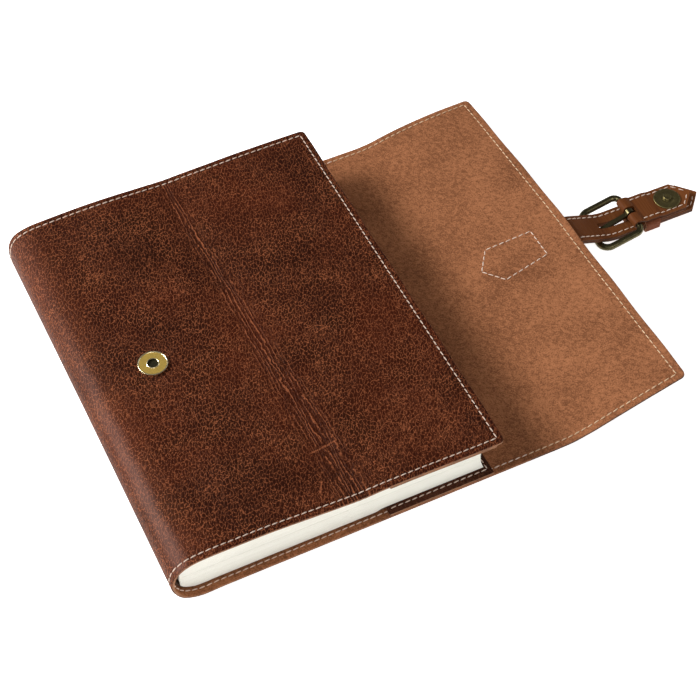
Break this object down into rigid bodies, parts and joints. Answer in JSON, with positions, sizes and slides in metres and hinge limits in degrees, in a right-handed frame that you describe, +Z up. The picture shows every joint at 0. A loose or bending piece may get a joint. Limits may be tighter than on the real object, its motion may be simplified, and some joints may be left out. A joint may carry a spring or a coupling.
{
  "type": "leather notebook cover",
  "caption": "Refillable leather notebook cover with a rounded spine, inner sleeves, a fold-over flap and a buckled strap that closes with a magnetic snap; an A5 notebook is inside.",
  "frame": {"origin": "centre of the underside of the back panel, between the start of the spine curve and the first flap fold", "axes": "+Z up out of the closed cover, +X from the spine towards the open flap and strap, +Y from tail to head"},
  "size_m": [0.3369, 0.218, 0.0287],
  "materials": {
    "grain_leather": "satin",
    "sleeve_leather": "satin",
    "strap_leather": "satin",
    "keeper_leather": "satin",
    "notebook_card": "matte",
    "pages": "matte",
    "socket_brass": "satin",
    "stud_brass": "satin",
    "buckle_brass": "satin",
    "magnet_steel": "satin"
  },
  "bodies": {
    "back": {"back_panel": "grain_leather", "back_sleeve": "sleeve_leather", "notebook_back_card": "notebook_card", "pages_lower": "pages"},
    "spine_1": {"spine_panel_1": "grain_leather", "notebook_spine_1": "notebook_card"},
    "spine_2": {"spine_panel_2": "grain_leather", "notebook_spine_2": "notebook_card"},
    "spine_3": {"spine_panel_3": "grain_leather", "notebook_spine_3": "notebook_card"},
    "front": {"front_panel": "grain_leather", "front_sleeve": "sleeve_leather", "notebook_front_card": "notebook_card", "snap_socket_cap": "socket_brass", "snap_socket_magnet": "magnet_steel", "snap_socket_washer": "magnet_steel"},
    "pages_upper": {"pages_upper": "pages"},
    "gusset": {"gusset_panel": "grain_leather"},
    "flap": {"flap_panel": "grain_leather", "strap_anchor": "strap_leather", "strap_anchor_lining": "strap_leather"},
    "strap_root": {"strap_root": "strap_leather", "strap_root_lining": "strap_leather"},
    "strap_end": {"strap_end": "strap_leather", "strap_end_lining": "strap_leather", "buckle_tab": "strap_leather", "keeper_loop": "keeper_leather", "snap_stud": "stud_brass", "snap_stud_washer": "magnet_steel"},
    "buckle": {"buckle_frame": "buckle_brass"},
    "prong": {"buckle_prong": "buckle_brass"}
  },
  "joints": [
    {"name": "book_open", "type": "hinge", "parent": "back", "child": "pages_upper", "pos_m": [-0.0842, 0, 0.0137], "axis": [0, -1, 0], "range_deg": [0, 180]},
    {"name": "spine_fold_1", "type": "hinge", "parent": "back", "child": "spine_1", "pos_m": [-0.0749, 0, 0], "axis": [0, -1, 0], "range_deg": [0, 30]},
    {"name": "spine_fold_2", "type": "hinge", "parent": "spine_1", "child": "spine_2", "pos_m": [-0.08676, 0, 0.00685], "axis": [0, -1, 0], "range_deg": [0, 60]},
    {"name": "spine_fold_3", "type": "hinge", "parent": "spine_2", "child": "spine_3", "pos_m": [-0.08676, 0, 0.02055], "axis": [0, -1, 0], "range_deg": [0, 60]},
    {"name": "cover_fold", "type": "hinge", "parent": "spine_3", "child": "front", "pos_m": [-0.0749, 0, 0.0274], "axis": [0, -1, 0], "range_deg": [0, 30]},
    {"name": "flap_close", "type": "hinge", "parent": "back", "child": "gusset", "pos_m": [0.0749, 0, 0.0018], "axis": [0, -1, 0], "range_deg": [0, 90]},
    {"name": "flap_fold", "type": "hinge", "parent": "gusset", "child": "flap", "pos_m": [0.1044, 0, 0.0018], "axis": [0, -1, 0], "range_deg": [0, 79]},
    {"name": "strap_bend", "type": "hinge", "parent": "flap", "child": "strap_root", "pos_m": [0.17277, 0, 0.01326], "axis": [0, -1, 0], "range_deg": [0, 32]},
    {"name": "tab_bend", "type": "hinge", "parent": "strap_root", "child": "strap_end", "pos_m": [0.19331, 0, 0.00537], "axis": [0, -1, 0], "range_deg": [-21, 0]},
    {"name": "buckle_rock", "type": "hinge", "parent": "strap_end", "child": "buckle", "pos_m": [0.20751, 0, 0.00812], "axis": [0, -1, 0], "range_deg": [0, 7.08]},
    {"name": "prong_pivot", "type": "hinge", "parent": "buckle", "child": "prong", "pos_m": [0.20751, 0, 0.00812], "axis": [0, -1, 0], "range_deg": [0, 10]}
  ],
  "couplings": [
    {"joint": "spine_fold_1", "follows": "book_open", "ratio": 0.16667},
    {"joint": "spine_fold_2", "follows": "book_open", "ratio": 0.33333},
    {"joint": "spine_fold_3", "follows": "book_open", "ratio": 0.33333},
    {"joint": "cover_fold", "follows": "book_open", "ratio": 0.16667},
    {"joint": "flap_fold", "follows": "flap_close", "ratio": 0.87778},
    {"joint": "tab_bend", "follows": "strap_bend", "ratio": -0.65625},
    {"joint": "buckle_rock", "follows": "strap_bend", "ratio": 0.22119}
  ]
}
